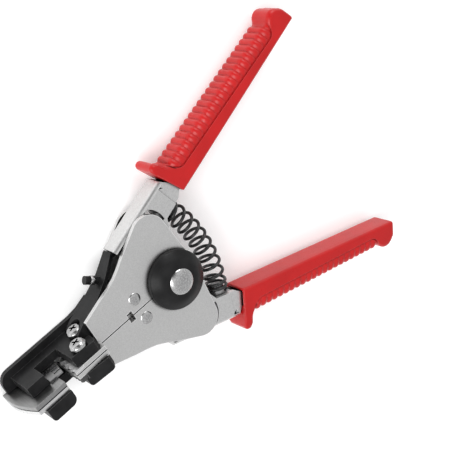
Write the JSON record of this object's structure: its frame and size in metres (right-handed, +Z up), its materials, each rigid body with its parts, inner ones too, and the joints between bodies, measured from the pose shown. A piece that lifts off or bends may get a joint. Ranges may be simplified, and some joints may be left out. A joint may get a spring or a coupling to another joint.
{
  "type": "automatic wire stripper pliers",
  "caption": "Automatic wire stripper pliers: sprung red handles drive a sliding comb and V-notch stripping head and a serrated wire gripper.",
  "frame": {"origin": "pivot axis of the tool where it meets the resting face", "axes": "+X along the slit from the jaws to the grips, +Y from the gripper side to the blade side, +Z up from the resting face along the pivot axis"},
  "size_m": [0.1617, 0.1116, 0.0224],
  "materials": {
    "satin_nickel": "satin nickel-plated sheet",
    "bright_steel": "bright plated",
    "black_steel": "black oxide, semi-gloss",
    "black_oxide_lever": "black oxide, satin",
    "chrome_screws": "polished",
    "spring_steel": "black drawn wire",
    "red_grip": "soft moulded, fine grain"
  },
  "bodies": {
    "blade_arm": {"blade_arm_frame": "satin_nickel", "pivot_rivet": "bright_steel", "near_washer": "black_steel", "far_washer": "black_steel", "hub_bush": "bright_steel", "hub_spacer": "bright_steel", "v_notch_blade": "bright_steel", "v_notch_blade_rivets": "bright_steel", "blade_arm_cross_pin": "bright_steel"},
    "gripper_arm": {"gripper_arm_frame": "satin_nickel", "gripper_fixed_jaw": "bright_steel", "gripper_fixed_jaw_rivets": "bright_steel", "gripper_arm_cross_pin": "bright_steel"},
    "upper_handle_body": {"upper_handle": "satin_nickel", "upper_grip": "red_grip", "upper_link_pin": "bright_steel", "upper_spring_seat": "satin_nickel", "return_spring": "spring_steel"},
    "lower_handle_body": {"lower_handle": "satin_nickel", "lower_grip": "red_grip", "lower_link_pin": "bright_steel", "lower_spring_seat": "satin_nickel"},
    "blade_lever_body": {"blade_lever": "black_oxide_lever", "comb_blade": "bright_steel", "comb_blade_rivets": "bright_steel", "blade_lever_screws": "chrome_screws", "blade_screw_washers": "black_steel", "blade_slide_nuts": "satin_nickel", "lever_guide_pin": "black_steel", "guide_pin_collar": "bright_steel"},
    "gripper_lever_body": {"gripper_lever": "black_oxide_lever", "gripper_tip_jaw": "bright_steel", "gripper_tip_jaw_rivets": "bright_steel", "gripper_lever_screws": "chrome_screws", "gripper_screw_washers": "black_steel", "gripper_slide_nuts": "satin_nickel"},
    "slit_catch_body": {"slit_catch": "black_steel"}
  },
  "joints": [
    {"name": "arm_spread", "type": "hinge", "parent": "blade_arm", "child": "gripper_arm", "pos_m": [0, 0, 0], "axis": [0, 0, 1], "range_deg": [0, 20], "stiffness_Nm_per_rad": 0.4, "deforming": ["return_spring"]},
    {"name": "upper_handle_turn", "type": "hinge", "parent": "blade_arm", "child": "upper_handle_body", "pos_m": [0, 0, 0], "axis": [0, 0, -1], "range_deg": [0, 12.5], "stiffness_Nm_per_rad": 0.5, "deforming": ["return_spring"]},
    {"name": "lower_handle_turn", "type": "hinge", "parent": "gripper_arm", "child": "lower_handle_body", "pos_m": [0, 0, 0], "axis": [0, 0, 1], "range_deg": [0, 12.5]},
    {"name": "blade_lever_slide", "type": "slide", "parent": "blade_arm", "child": "blade_lever_body", "axis": [1, 0, 0], "range_m": [0, 0.0044]},
    {"name": "gripper_lever_slide", "type": "slide", "parent": "gripper_arm", "child": "gripper_lever_body", "axis": [1, 0, 0], "range_m": [0, 0.0044]},
    {"name": "slit_catch_turn", "type": "hinge", "parent": "blade_arm", "child": "slit_catch_body", "pos_m": [-0.0164, 0.0044, 0.009], "axis": [0, 0, 1], "range_deg": [0, 8]}
  ],
  "couplings": [
    {"joint": "lower_handle_turn", "follows": "upper_handle_turn", "ratio": 1},
    {"joint": "blade_lever_slide", "follows": "upper_handle_turn", "m_per_rad": 0.019914},
    {"joint": "gripper_lever_slide", "follows": "upper_handle_turn", "m_per_rad": 0.019914},
    {"joint": "slit_catch_turn", "follows": "upper_handle_turn", "ratio": 0.64}
  ]
}
